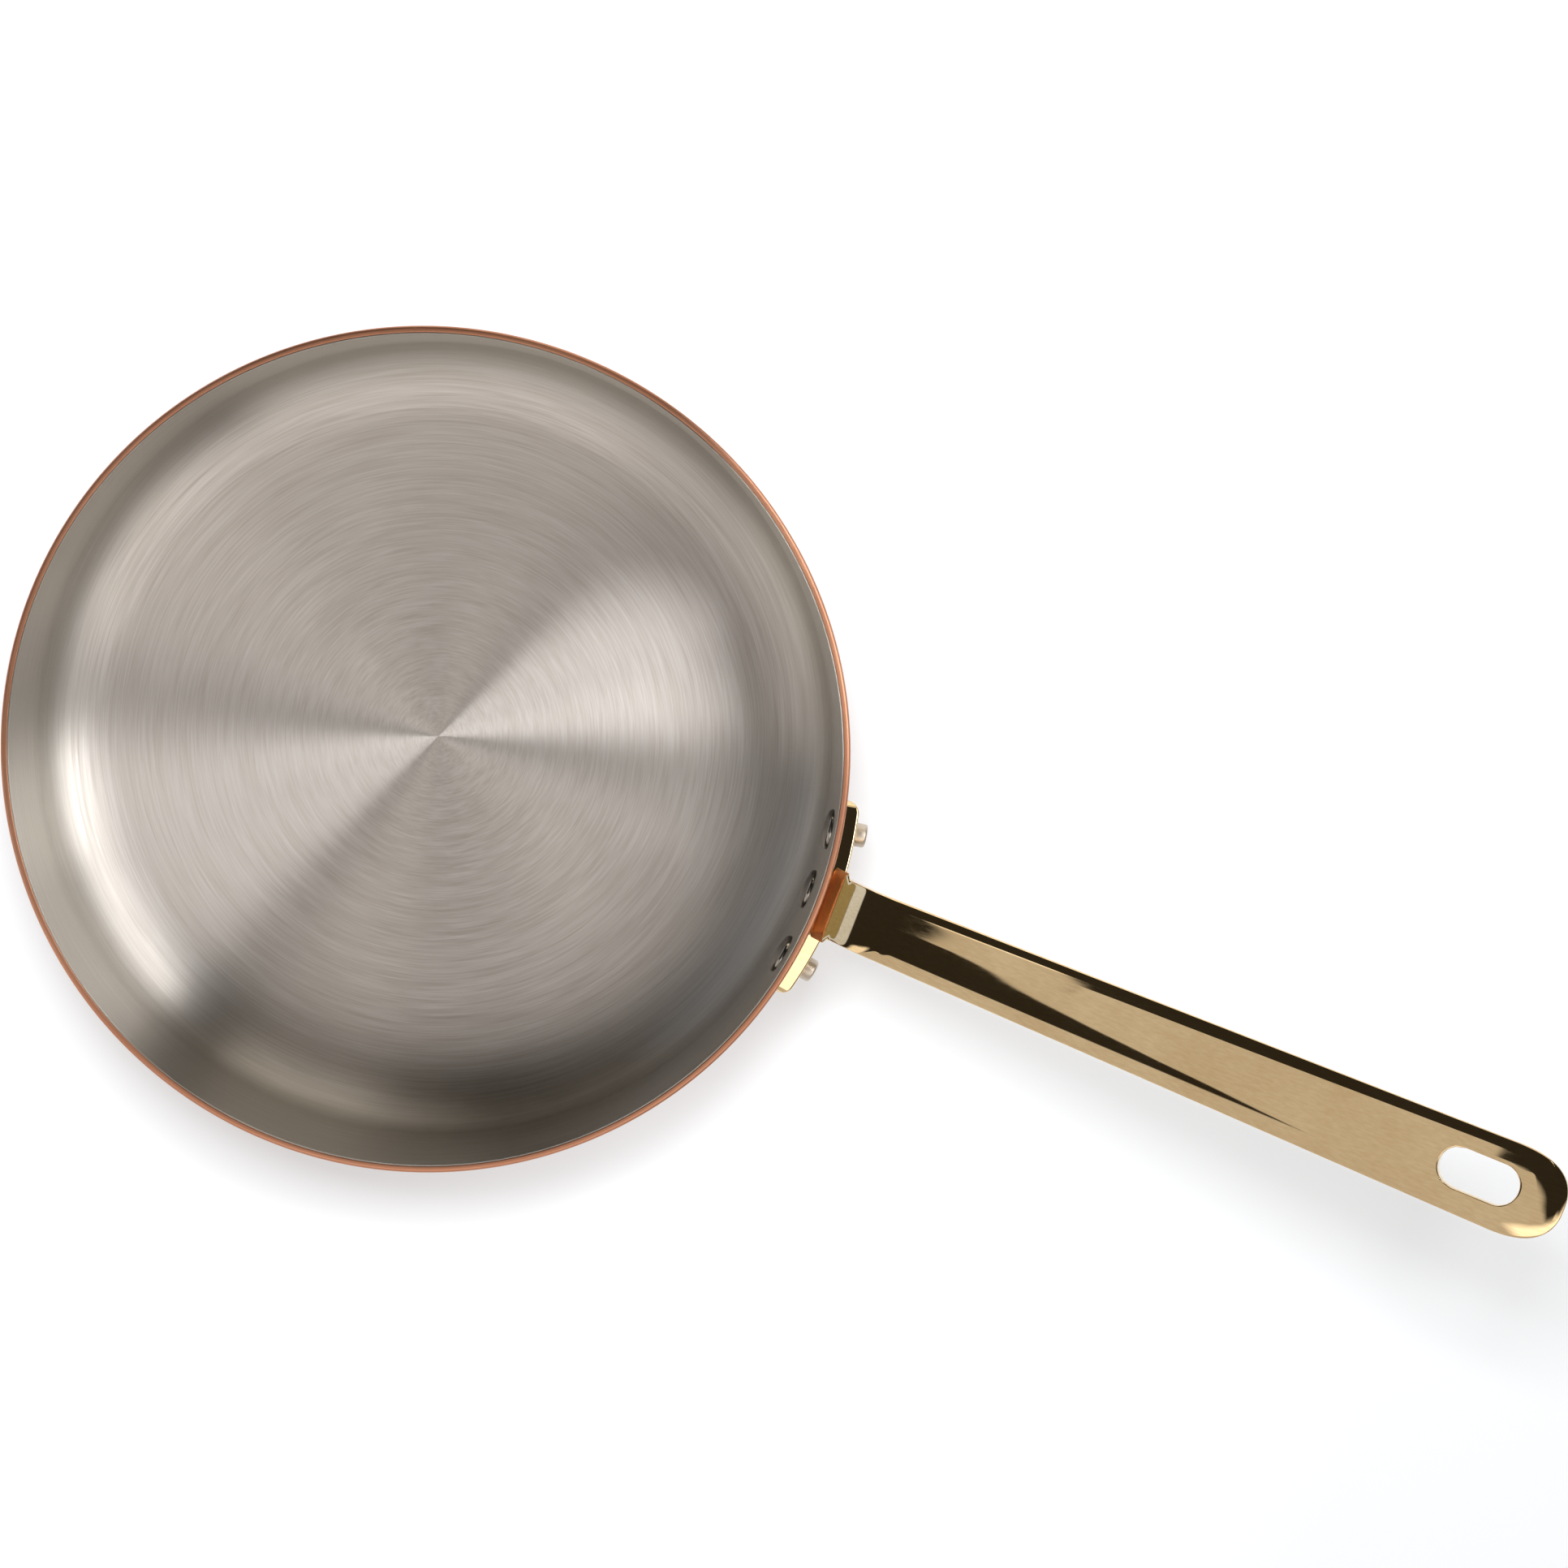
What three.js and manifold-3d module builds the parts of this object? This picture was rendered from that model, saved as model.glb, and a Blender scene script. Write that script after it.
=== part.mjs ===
// Deep frying pan: copper body with a bonded steel lining, and a cast brass handle held by three rivets.
// Millimetres, +Z up. The origin is the centre of the base's underside, and the handle points along +X.
import * as THREE from 'three';
import { mergeVertices } from 'three/addons/utils/BufferGeometryUtils.js';
import Module from 'manifold-3d';

// Body
const rimDiameter = 240;
const bodyHeight = 57.4;
const copperThickness = 1.9;
const steelThickness = 0.4;
const bondGap = 0.05;
const wallFlare = THREE.MathUtils.degToRad(3.5);
const cornerRadius = 16.5;

// Rivets: two level ones beside the neck and one lower, under the neck
const upperRivetSpacing = 39.6;
const upperRivetDepth = 14;
const lowerRivetDepth = 23.5;
const shankDiameter = 5.4;
const shankClearance = 0.3;
const innerHeadDiameter = 11.7;
const innerHeadHeight = 2.2;
const outerHeadDiameter = 6.7;
const outerHeadHeight = 3.6;
const outerHeadRounding = 0.8;
const headSeatGap = 0.3;

// Handle: a plate that hugs the wall, a neck that climbs from it, and a grip that widens to its tip
const plateSeatGap = 0.3;
const plateThickness = 4.2;
const plateBevel = 1.6;
const plateCornerRadius = 6.5;
const plateTopWidth = 20;
const plateLowerReach = 9.5;
const earReach = 3;
const earTopDepth = 7.4;
const neckWidth = 18;
const neckTopDepth = 4.4;
const neckRootThickness = 12;
const neckRunOut = 22.1;
const neckRise = 15.2;
const neckTopAngle = THREE.MathUtils.degToRad(52);
const neckUnderAngle = THREE.MathUtils.degToRad(48);
const neckFillet = 1.6;
const handleReach = 217;
const gripSlope = THREE.MathUtils.degToRad(15);
const gripWidth = 25.5;
const gripThickness = 8;
const tipThickness = 5.5;
const tipLength = 17.6;
const tipSquareness = 2.5;
const edgeSquareness = 3.2;
const slotLength = 23.3;
const slotWidth = 11.6;
const slotToTip = 13.8;

// Fineness of the facets
const turnSteps = 72;
const cornerSteps = 6;
const rivetSteps = 24;
const sectionPoints = 28;
const platePoints = 60;

const wasm = await Module();
wasm.setup();

// Boolean helpers: a closed geometry to a solid and back
function toSolid(geometry) {
  const bare = geometry.clone();
  bare.deleteAttribute('normal');
  bare.deleteAttribute('uv');
  const merged = mergeVertices(bare, 1e-5);
  const mesh = new wasm.Mesh({
    numProp: 3,
    vertProperties: new Float32Array(merged.attributes.position.array),
    triVerts: new Uint32Array(merged.index.array),
  });
  return new wasm.Manifold(mesh);
}

function toGeometry(solid) {
  const mesh = solid.getMesh();
  const geometry = new THREE.BufferGeometry();
  geometry.setAttribute('position', new THREE.BufferAttribute(mesh.vertProperties, 3));
  geometry.setIndex(new THREE.BufferAttribute(mesh.triVerts, 1));
  geometry.computeVertexNormals();
  return geometry;
}

// A closed profile of (radius, height) points turned about Z
function turned(points, steps) {
  const geometry = new THREE.LatheGeometry(points, steps);
  geometry.rotateX(Math.PI / 2);
  return geometry;
}

// The body's section: base, corner arc and straight flared wall, at a distance outside the cooking face
const rimRadius = rimDiameter / 2;
const wallThickness = copperThickness + bondGap + steelThickness;
const cornerHeight = wallThickness + cornerRadius;
const baseRadius = rimRadius - (cornerRadius + wallThickness) / Math.cos(wallFlare)
  - Math.tan(wallFlare) * (bodyHeight - cornerHeight);

function wallRadius(offset, height) {
  const run = Math.tan(wallFlare) * (height - cornerHeight);
  return baseRadius + (cornerRadius + offset) / Math.cos(wallFlare) + run;
}

function bodySection(offset) {
  const radius = cornerRadius + offset;
  const arc = new THREE.EllipseCurve(baseRadius, cornerHeight, radius, radius, -Math.PI / 2, -wallFlare);
  const rim = new THREE.Vector2(wallRadius(offset, bodyHeight), bodyHeight);
  return [new THREE.Vector2(0, cornerHeight - radius), ...arc.getPoints(cornerSteps), rim];
}

function shell(innerOffset, outerOffset) {
  const profile = [...bodySection(outerOffset), ...bodySection(innerOffset).reverse()];
  return toSolid(turned(profile, turnSteps));
}

// A rivet stands square to the wall: this places its axis, pointing out along X, on the copper's outer face
function onWall(depth, azimuth) {
  const height = bodyHeight - depth;
  const place = new THREE.Matrix4().makeRotationZ(azimuth);
  place.multiply(new THREE.Matrix4().makeTranslation(wallRadius(wallThickness, height), 0, height));
  place.multiply(new THREE.Matrix4().makeRotationY(wallFlare));
  return place;
}

const upperAzimuth = upperRivetSpacing / 2 / rimRadius;
const rivetSeats = {
  rivet_left: onWall(upperRivetDepth, upperAzimuth),
  rivet_right: onWall(upperRivetDepth, -upperAzimuth),
  rivet_lower: onWall(lowerRivetDepth, 0),
};

// One rivet: a low dome inside the pan, a shank, and a drum-shaped head closed over the plate
function rivetGeometry() {
  const innerSeat = -wallThickness - headSeatGap;
  const outerSeat = plateSeatGap + plateThickness + headSeatGap;
  const headRadius = innerHeadDiameter / 2;
  const domeRadius = (headRadius ** 2 + innerHeadHeight ** 2) / (2 * innerHeadHeight);
  const domeAngle = Math.asin(headRadius / domeRadius);
  const domeCentre = innerSeat - innerHeadHeight + domeRadius;
  const dome = new THREE.EllipseCurve(
    0, domeCentre, domeRadius, domeRadius, -Math.PI / 2, -Math.PI / 2 + domeAngle);
  const drumRadius = outerHeadDiameter / 2;
  const drumEnd = outerSeat + outerHeadHeight;
  const rounding = new THREE.EllipseCurve(
    drumRadius - outerHeadRounding, drumEnd - outerHeadRounding,
    outerHeadRounding, outerHeadRounding, 0, Math.PI / 2);
  const profile = [
    ...dome.getPoints(4),
    new THREE.Vector2(shankDiameter / 2, innerSeat),
    new THREE.Vector2(shankDiameter / 2, outerSeat),
    new THREE.Vector2(drumRadius, outerSeat),
    ...rounding.getPoints(3),
    new THREE.Vector2(0, drumEnd),
  ];
  const geometry = turned(profile, rivetSteps);
  geometry.rotateY(Math.PI / 2);
  return geometry;
}

// Clearance holes for the shanks, right through lining, copper and plate
function drilled(solid) {
  const holeRadius = shankDiameter / 2 + shankClearance;
  const holeLength = 4 * (wallThickness + plateSeatGap + plateThickness);
  let cut = solid;
  for (const seat of Object.values(rivetSeats)) {
    const drill = new THREE.CylinderGeometry(holeRadius, holeRadius, holeLength, rivetSteps);
    drill.rotateZ(Math.PI / 2);
    drill.applyMatrix4(seat);
    cut = cut.subtract(toSolid(drill));
  }
  return cut;
}

// A closed skin over rings of equal size, with a fan to a point at each end
function skin(firstPoint, rings, lastPoint) {
  const size = rings[0].length;
  const points = [firstPoint, ...rings.flat(), lastPoint];
  const end = points.length - 1;
  const triangles = [];
  for (let i = 0; i < size; i += 1) {
    const next = (i + 1) % size;
    triangles.push(0, 1 + next, 1 + i);
    triangles.push(end, end - size + i, end - size + next);
    for (let r = 1; r < rings.length; r += 1) {
      const far = 1 + r * size;
      const near = far - size;
      triangles.push(near + i, near + next, far + i);
      triangles.push(near + next, far + next, far + i);
    }
  }
  const geometry = new THREE.BufferGeometry().setFromPoints(points);
  geometry.setIndex(triangles);
  return toSolid(geometry);
}

// The plate's outline on the wall, as arc length and height: level at the neck, an ear by each upper rivet and a
// point under the lower one, all with rounded corners
function plateOutline(roundness) {
  const earX = upperRivetSpacing / 2 + earReach;
  const earY = bodyHeight - earTopDepth - plateCornerRadius;
  const topX = plateTopWidth / 2;
  const topY = bodyHeight - neckTopDepth - plateCornerRadius;
  const lowerY = bodyHeight - lowerRivetDepth - plateLowerReach + plateCornerRadius;
  const centres = [
    new THREE.Vector2(-earX, earY),
    new THREE.Vector2(0, lowerY),
    new THREE.Vector2(earX, earY),
    new THREE.Vector2(topX, topY),
    new THREE.Vector2(-topX, topY),
  ];
  const outline = new THREE.Shape();
  centres.forEach((centre, i) => {
    const before = centre.clone().sub(centres.at(i - 1));
    const after = centres[(i + 1) % centres.length].clone().sub(centre);
    const from = before.angle() - Math.PI / 2;
    const to = after.angle() - Math.PI / 2;
    outline.absarc(centre.x, centre.y, roundness, from, to, false);
  });
  outline.closePath();
  return outline.getSpacedPoints(platePoints).slice(0, -1);
}

// The plate: rings of its outline wrapped on the wall, from the seat out to the bevelled face
function plateSolid() {
  const seat = wallThickness + plateSeatGap;
  const face = seat + plateThickness;
  const middle = new THREE.Vector2(0, bodyHeight - (upperRivetDepth + lowerRivetDepth) / 2);
  const wrap = (point, offset) => new THREE.Vector3()
    .setFromCylindricalCoords(wallRadius(offset, point.y), Math.PI / 2 + point.x / rimRadius, point.y)
    .applyAxisAngle(new THREE.Vector3(1, 0, 0), Math.PI / 2);
  const ring = (roundness, share, offset) => plateOutline(roundness)
    .map((point) => wrap(point.lerp(middle, 1 - share), offset));
  const shares = [0.25, 0.5, 0.75];
  const rings = [
    ...shares.map((share) => ring(plateCornerRadius, share, seat)),
    ring(plateCornerRadius, 1, seat),
    ring(plateCornerRadius, 1, face - plateBevel),
    ring(plateCornerRadius - plateBevel, 1, face),
    ...shares.toReversed().map((share) => ring(plateCornerRadius - plateBevel, share, face)),
  ];
  return skin(wrap(middle, seat), rings, wrap(middle, face));
}

// Side view of the neck and grip: heights of the top and the underside at a distance x from the pan's axis
const rootTop = bodyHeight - neckTopDepth;
const rootX = wallRadius(wallThickness, rootTop) + plateSeatGap;
const shoulderX = rootX + neckRunOut;
const tipX = rimRadius + handleReach;
const shoulderTop = rootTop + neckRise;

// Cubic between two heights with a given steepness at each end
function blend(x, x0, z0, steep0, x1, z1, steep1) {
  const span = x1 - x0;
  const t = (x - x0) / span;
  const rise = z0 * (1 + 2 * t) * (1 - t) ** 2 + z1 * t * t * (3 - 2 * t);
  return rise + span * t * (1 - t) * (steep0 * (1 - t) - steep1 * t);
}

function topHeight(x) {
  if (x > shoulderX) return shoulderTop + (x - shoulderX) * Math.tan(gripSlope);
  return blend(x, rootX, rootTop, Math.tan(neckTopAngle), shoulderX, shoulderTop, Math.tan(gripSlope));
}

function underHeight(x) {
  const along = THREE.MathUtils.clamp((x - shoulderX) / (tipX - shoulderX), 0, 1);
  const thickness = THREE.MathUtils.lerp(gripThickness, tipThickness, along) / Math.cos(gripSlope);
  if (x > shoulderX) return topHeight(x) - thickness;
  const rootUnder = rootTop - neckRootThickness;
  return blend(x, rootX, rootUnder, Math.tan(neckUnderAngle), shoulderX, shoulderTop - thickness,
    Math.tan(gripSlope));
}

// Plan view: half the width at x, with a fillet into the plate at the root and a rounded tip
const plateFaceX = rootX + plateThickness;
const tipStartX = tipX - tipLength;

function halfWidth(x) {
  const along = THREE.MathUtils.clamp((x - plateFaceX) / (tipStartX - plateFaceX), 0, 1);
  const straight = THREE.MathUtils.lerp(neckWidth, gripWidth, along) / 2;
  const filletEnd = plateFaceX + neckFillet;
  if (x < filletEnd) {
    const reach = Math.min(filletEnd - x, neckFillet);
    return straight + neckFillet - Math.sqrt(neckFillet ** 2 - reach ** 2);
  }
  const intoTip = Math.max(0, (x - tipStartX) / tipLength);
  return straight * (1 - intoTip ** tipSquareness) ** (1 / tipSquareness);
}

// Stations along the handle, close together where the neck bends and where the tip rounds off
function handleStations() {
  const stations = [rootX, (rootX + plateFaceX) / 2, plateFaceX];
  const bend = 8;
  for (let i = 1; i <= bend; i += 1) {
    stations.push(plateFaceX + (shoulderX - plateFaceX) * i / bend);
  }
  const straights = 8;
  for (let i = 1; i <= straights; i += 1) {
    stations.push(shoulderX + (tipStartX - shoulderX) * i / straights);
  }
  const rounds = 9;
  for (let i = 1; i < rounds; i += 1) {
    stations.push(tipStartX + tipLength * Math.sin(Math.PI / 2 * i / rounds));
  }
  return stations;
}

// A ring of points round the handle at x: nearly flat top and underside that round off towards the outline
function handleSection(x) {
  const ring = [];
  const middle = (topHeight(x) + underHeight(x)) / 2;
  const half = (topHeight(x) - underHeight(x)) / 2;
  const tip = Math.max(0, (x - tipStartX) / tipLength) ** tipSquareness;
  for (let i = 0; i < sectionPoints; i += 1) {
    const turn = 2 * Math.PI * i / sectionPoints;
    const across = Math.sign(Math.cos(turn)) * Math.abs(Math.cos(turn)) ** (2 / edgeSquareness);
    const nearEdge = (Math.abs(across) ** tipSquareness * (1 - tip) + tip) ** (1 / tipSquareness);
    const up = Math.sign(Math.sin(turn)) * Math.max(0, 1 - nearEdge ** edgeSquareness) ** (1 / edgeSquareness);
    ring.push(new THREE.Vector3(x, halfWidth(x) * across, middle + half * up));
  }
  return ring;
}

function gripSolid() {
  const stations = handleStations();
  const capCentre = (x) => new THREE.Vector3(x, 0, (topHeight(x) + underHeight(x)) / 2);
  return skin(capCentre(stations[0]), stations.map(handleSection), capCentre(stations.at(-1)));
}

// The hanging slot, cut square to the grip
function slotSolid() {
  const straight = (slotLength - slotWidth) / 2;
  const outline = new THREE.Shape();
  outline.absarc(straight, 0, slotWidth / 2, -Math.PI / 2, Math.PI / 2, false);
  outline.absarc(-straight, 0, slotWidth / 2, Math.PI / 2, 3 * Math.PI / 2, false);
  const depth = 4 * gripThickness;
  const slot = new THREE.ExtrudeGeometry(outline, { depth, bevelEnabled: false, curveSegments: 10 });
  const centreX = tipX - (slotToTip + slotLength / 2) * Math.cos(gripSlope);
  slot.translate(0, 0, -depth / 2);
  slot.rotateY(-gripSlope);
  slot.translate(centreX, 0, (topHeight(centreX) + underHeight(centreX)) / 2);
  return toSolid(slot);
}

// Materials
const copper = new THREE.MeshStandardMaterial({ color: 0xb87355, roughness: 0.3, metalness: 1 });
const steel = new THREE.MeshStandardMaterial({ color: 0xb9b2ad, roughness: 0.35, metalness: 1 });
const brass = new THREE.MeshStandardMaterial({ color: 0xc2a06a, roughness: 0.12, metalness: 1 });
const rivetSteel = new THREE.MeshStandardMaterial({ color: 0xa9a39c, roughness: 0.35, metalness: 1 });

const pan = new THREE.Group();

function addPiece(name, geometry, material) {
  const piece = new THREE.Mesh(geometry, material);
  piece.name = name;
  pan.add(piece);
  return piece;
}

addPiece('copper_body', toGeometry(drilled(shell(steelThickness + bondGap, wallThickness))), copper);
addPiece('steel_lining', toGeometry(drilled(shell(0, steelThickness))), steel);
addPiece('handle', toGeometry(drilled(plateSolid().add(gripSolid())).subtract(slotSolid())), brass);
for (const [name, seat] of Object.entries(rivetSeats)) {
  addPiece(name, rivetGeometry(), rivetSteel).applyMatrix4(seat);
}

export default pan;
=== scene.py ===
from math import asin, atan2, cos, pi, radians, sin, sqrt, tan

import bmesh
import bpy
from mathutils import Matrix, Vector


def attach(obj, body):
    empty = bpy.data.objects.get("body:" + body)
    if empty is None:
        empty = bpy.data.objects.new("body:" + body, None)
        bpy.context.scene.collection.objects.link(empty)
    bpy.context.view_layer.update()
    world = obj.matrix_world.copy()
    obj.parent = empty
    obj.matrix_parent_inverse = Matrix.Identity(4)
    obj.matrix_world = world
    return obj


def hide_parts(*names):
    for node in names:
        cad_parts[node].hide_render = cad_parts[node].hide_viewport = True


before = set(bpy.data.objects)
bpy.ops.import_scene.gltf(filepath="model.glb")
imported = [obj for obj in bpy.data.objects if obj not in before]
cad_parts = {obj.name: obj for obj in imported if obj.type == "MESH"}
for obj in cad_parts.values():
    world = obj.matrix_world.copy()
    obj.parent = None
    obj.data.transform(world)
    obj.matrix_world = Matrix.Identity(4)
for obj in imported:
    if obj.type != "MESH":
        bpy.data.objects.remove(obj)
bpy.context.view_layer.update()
scene = bpy.context.scene
scene.view_settings.view_transform = "Standard"
mm = 0.001
noiseLow, noiseHigh = 0.3, 0.7  # most of a noise texture's values lie between these
print("frame loaded:", len(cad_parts), "nodes")


# sRGB hex to the linear colour that the shaders take
def fromHex(text):
    channels = [int(text[i:i + 2], 16) / 255 for i in (1, 3, 5)]
    linear = [c / 12.92 if c <= 0.04045 else ((c + 0.055) / 1.055) ** 2.4 for c in channels]
    return (*linear, 1)


# One node with its settings; an input given as a socket is linked, any other is set
def addNode(tree, kind, inputs=None, **settings):
    node = tree.nodes.new(kind)
    for name, value in settings.items():
        setattr(node, name, value)
    for name, value in (inputs or {}).items():
        if isinstance(value, bpy.types.NodeSocket):
            tree.links.new(value, node.inputs[name])
        else:
            node.inputs[name].default_value = value
    return node


def newMaterial(name):
    material = bpy.data.materials.new(name)
    material.use_nodes = True
    material.node_tree.nodes.clear()
    return material, material.node_tree


def showShader(tree, shader, kind="ShaderNodeOutputMaterial"):
    addNode(tree, kind, {"Surface": shader})


# Mesh to a finished piece that stands for its CAD node
def addPiece(name, bm, material, node, sharpAngle):
    mesh = bpy.data.meshes.new(name)
    bm.to_mesh(mesh)
    bm.free()
    mesh.polygons.foreach_set("use_smooth", [True] * len(mesh.polygons))
    mesh.set_sharp_from_angle(angle=radians(sharpAngle))
    mesh.materials.append(material)
    piece = bpy.data.objects.new(name, mesh)
    scene.collection.objects.link(piece)
    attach(piece, "root")
    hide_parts(node)
    print("piece", name, len(mesh.polygons), "faces")
    return piece


# Camera: nearly straight down into the pan, turned so that the handle runs to the lower right
photoCamera = {
    "place": (0.05083, 0.15774, 1.54875),
    "sight": (0.03128, -0.08675, -0.99574),
    "turn": 20.94,  # degrees from the handle's line to the picture's right
    "lens": 121.86,
    "sensor": 36,
}


def addCamera():
    data = bpy.data.cameras.new("photoCamera")
    data.lens = photoCamera["lens"]
    data.sensor_width = photoCamera["sensor"]
    data.sensor_fit = "HORIZONTAL"
    sight = Vector(photoCamera["sight"]).normalized()
    level = Vector((cos(radians(photoCamera["turn"])), sin(radians(photoCamera["turn"])), 0))
    right = (level - sight * level.dot(sight)).normalized()
    axes = Matrix((right, right.cross(sight), -sight)).transposed()
    camera = bpy.data.objects.new("photoCamera", data)
    camera.matrix_world = Matrix.Translation(photoCamera["place"]) @ axes.to_4x4()
    scene.collection.objects.link(camera)
    scene.camera = camera


addCamera()
print("camera set")


# Studio: a dark room with pale panels, which the polished metal mirrors, and key lamps beyond the handle. Panels are
# rounded boxes on a sky chart: degrees from straight up, along the handle's line first and then across it. The floor
# lamp lights only the floor, where it leaves the pan's soft shadow.
studio = {
    "ambient": "#33302a",
    "panels": [
        {"name": "overhead", "middle": (-16.6, -12.6), "half": (6.5, 13), "round": 1, "soft": 0.15, "turn": 15.8,
         "colour": "#fffaf4", "power": 0.7},
        {"name": "overheadWing", "middle": (-21.6, 3.5), "half": (3, 9.5), "round": 1, "soft": 0.15, "turn": 0,
         "colour": "#fffaf4", "power": 0.7},
        {"name": "overheadSlit", "middle": (-25.3, 10.5), "half": (0.8, 14.5), "round": 0.5, "soft": 0.15, "turn": 0,
         "colour": "#fffaf4", "power": 0.7},
        {"name": "overheadSlitEnd", "middle": (-25.3, 23.6), "half": (0.8, 1.5), "round": 0.5, "soft": 0.15,
         "turn": 0, "colour": "#fffaf4", "power": 1.3},
        {"name": "overheadRight", "middle": (-8.7, -11.5), "half": (4, 16), "round": 2, "soft": 1.8, "turn": 45,
         "colour": "#fffaf4", "power": 0.7},
        {"name": "front", "middle": (-2.3, -77.6), "half": (45, 50), "round": 4, "soft": 0.5, "turn": -29.3,
         "colour": "#fffaf6", "power": 0.7},
        {"name": "frontRight", "middle": (18, -21.5), "half": (32, 13), "round": 6, "soft": 6, "turn": 20,
         "colour": "#fffaf6", "power": 2.0},
        {"name": "rightFill", "middle": (8, -10.5), "half": (5, 2.5), "round": 2, "soft": 2, "turn": 0,
         "colour": "#fffaf6", "power": 1.2},
        {"name": "farScreen", "middle": (-71.2, 5), "half": (5.8, 90), "round": 1, "soft": 0.8, "turn": 0,
         "colour": "#e1ebff", "power": 1.0},
        {"name": "farWall", "middle": (-86, 5), "half": (10, 90), "round": 1, "soft": 0.8, "turn": 0,
         "colour": "#b9ad83", "power": 0.75},
        {"name": "leftLow", "middle": (-46, -50), "half": (11, 28), "round": 6, "soft": 4, "turn": 0,
         "colour": "#fffaf6", "power": 1.3},
        {"name": "backMiddle", "middle": (-2, 55), "half": (13, 9), "round": 6, "soft": 5, "turn": 0,
         "colour": "#fff6ea", "power": 1.0},
        {"name": "backLow", "middle": (-15, 85), "half": (32, 19), "round": 4, "soft": 3, "turn": 0,
         "colour": "#fff6ea", "power": 1.6},
    ],
    "lamps": [
        {"name": "keyLamp", "place": (0.33, 0.148, 0.445), "turn": (0, 90, 0), "wide": 0.27, "high": 0.144,
         "watts": 1.12, "colour": "#ffffff"},
        {"name": "keyLampBack", "place": (0.33, 0.45, 0.6), "turn": (0, 90, 0), "wide": 0.36, "high": 0.46,
         "watts": 3.9, "colour": "#ffffff"},
        {"name": "sideLamp", "place": (0.33, -0.012, 0.5), "turn": (0, 90, 0), "wide": 0.32, "high": 0.176,
         "watts": 0.34, "colour": "#ffffff"},
        {"name": "floorLamp", "place": (-0.17, 0.43, 1.5), "turn": (0, 0, 0), "wide": 0.5, "high": 0.5,
         "watts": 26, "colour": "#ffffff", "floorOnly": True},
    ],
    "floorGlow": 0.42,
    "floorShade": "#b4b7ba",  # as the camera and the metal see it
    "floorPaper": "#e6e4e1",  # what the floor's bounced light takes its colour from
    "floorRadius": 6,  # m
    "floorDrop": 0.3,  # mm below the base
}


# 1 inside a panel's rounded box, 0 outside it
def panelMask(tree, spot, panel):
    spot = addNode(tree, "ShaderNodeVectorRotate",
                   {"Vector": spot, "Center": (*panel["middle"], 0), "Angle": radians(-panel["turn"])},
                   rotation_type="Z_AXIS").outputs[0]
    steps = (("SUBTRACT", (*panel["middle"], 0)), ("ABSOLUTE", (0, 0, 0)),
             ("SUBTRACT", (*[half - panel["round"] for half in panel["half"]], 0)), ("MAXIMUM", (0, 0, 0)))
    for step, amount in steps:
        spot = addNode(tree, "ShaderNodeVectorMath", {0: spot, 1: amount}, operation=step).outputs[0]
    away = addNode(tree, "ShaderNodeVectorMath", {0: spot}, operation="LENGTH").outputs["Value"]
    inner, outer = panel["round"] - panel["soft"], panel["round"] + panel["soft"]
    return addNode(tree, "ShaderNodeMapRange", {"Value": away, "From Min": outer, "From Max": inner},
                   interpolation_type="SMOOTHSTEP").outputs["Result"]


def addStudio():
    world = bpy.data.worlds.new("softStudio")
    world.use_nodes = True
    tree = world.node_tree
    tree.nodes.clear()
    direction = addNode(tree, "ShaderNodeTexCoord").outputs["Generated"]
    level = addNode(tree, "ShaderNodeVectorMath", {0: direction, 1: (1, 1, 0)}, operation="MULTIPLY").outputs[0]
    heading = addNode(tree, "ShaderNodeVectorMath", {0: level}, operation="NORMALIZE").outputs[0]
    up = addNode(tree, "ShaderNodeSeparateXYZ", {0: direction}).outputs["Z"]
    tilt = addNode(tree, "ShaderNodeMath", {0: up}, operation="ARCCOSINE").outputs[0]
    tiltDegrees = addNode(tree, "ShaderNodeMath", {0: tilt}, operation="DEGREES").outputs[0]
    spot = addNode(tree, "ShaderNodeVectorMath", {0: heading, "Scale": tiltDegrees}, operation="SCALE").outputs[0]
    glow = fromHex(studio["ambient"])[:3]
    for panel in studio["panels"]:
        light = [channel * panel["power"] for channel in fromHex(panel["colour"])[:3]]
        lit = addNode(tree, "ShaderNodeVectorMath", {0: panelMask(tree, spot, panel), 1: light}, operation="MULTIPLY")
        glow = addNode(tree, "ShaderNodeVectorMath", {0: lit.outputs[0], 1: glow}, operation="MAXIMUM").outputs[0]
    path = addNode(tree, "ShaderNodeLightPath")
    surround = addNode(tree, "ShaderNodeBackground", {"Color": glow})
    white = addNode(tree, "ShaderNodeBackground", {"Color": (1, 1, 1, 1)})
    seen = addNode(tree, "ShaderNodeMixShader",
                   {0: path.outputs["Is Camera Ray"], 1: surround.outputs[0], 2: white.outputs[0]})
    showShader(tree, seen.outputs[0], "ShaderNodeOutputWorld")
    scene.world = world


def addLamp(lamp):
    data = bpy.data.lights.new(lamp["name"], "AREA")
    data.shape = "RECTANGLE"
    data.size = lamp["wide"]
    data.size_y = lamp["high"]
    data.energy = lamp["watts"]
    data.color = fromHex(lamp["colour"])[:3]
    holder = bpy.data.objects.new(lamp["name"], data)
    holder.location = lamp["place"]
    holder.rotation_euler = [radians(angle) for angle in lamp["turn"]]
    holder.visible_camera = False
    holder.visible_glossy = not lamp.get("floorOnly", False)
    scene.collection.objects.link(holder)


addStudio()
for lamp in studio["lamps"]:
    addLamp(lamp)


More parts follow.
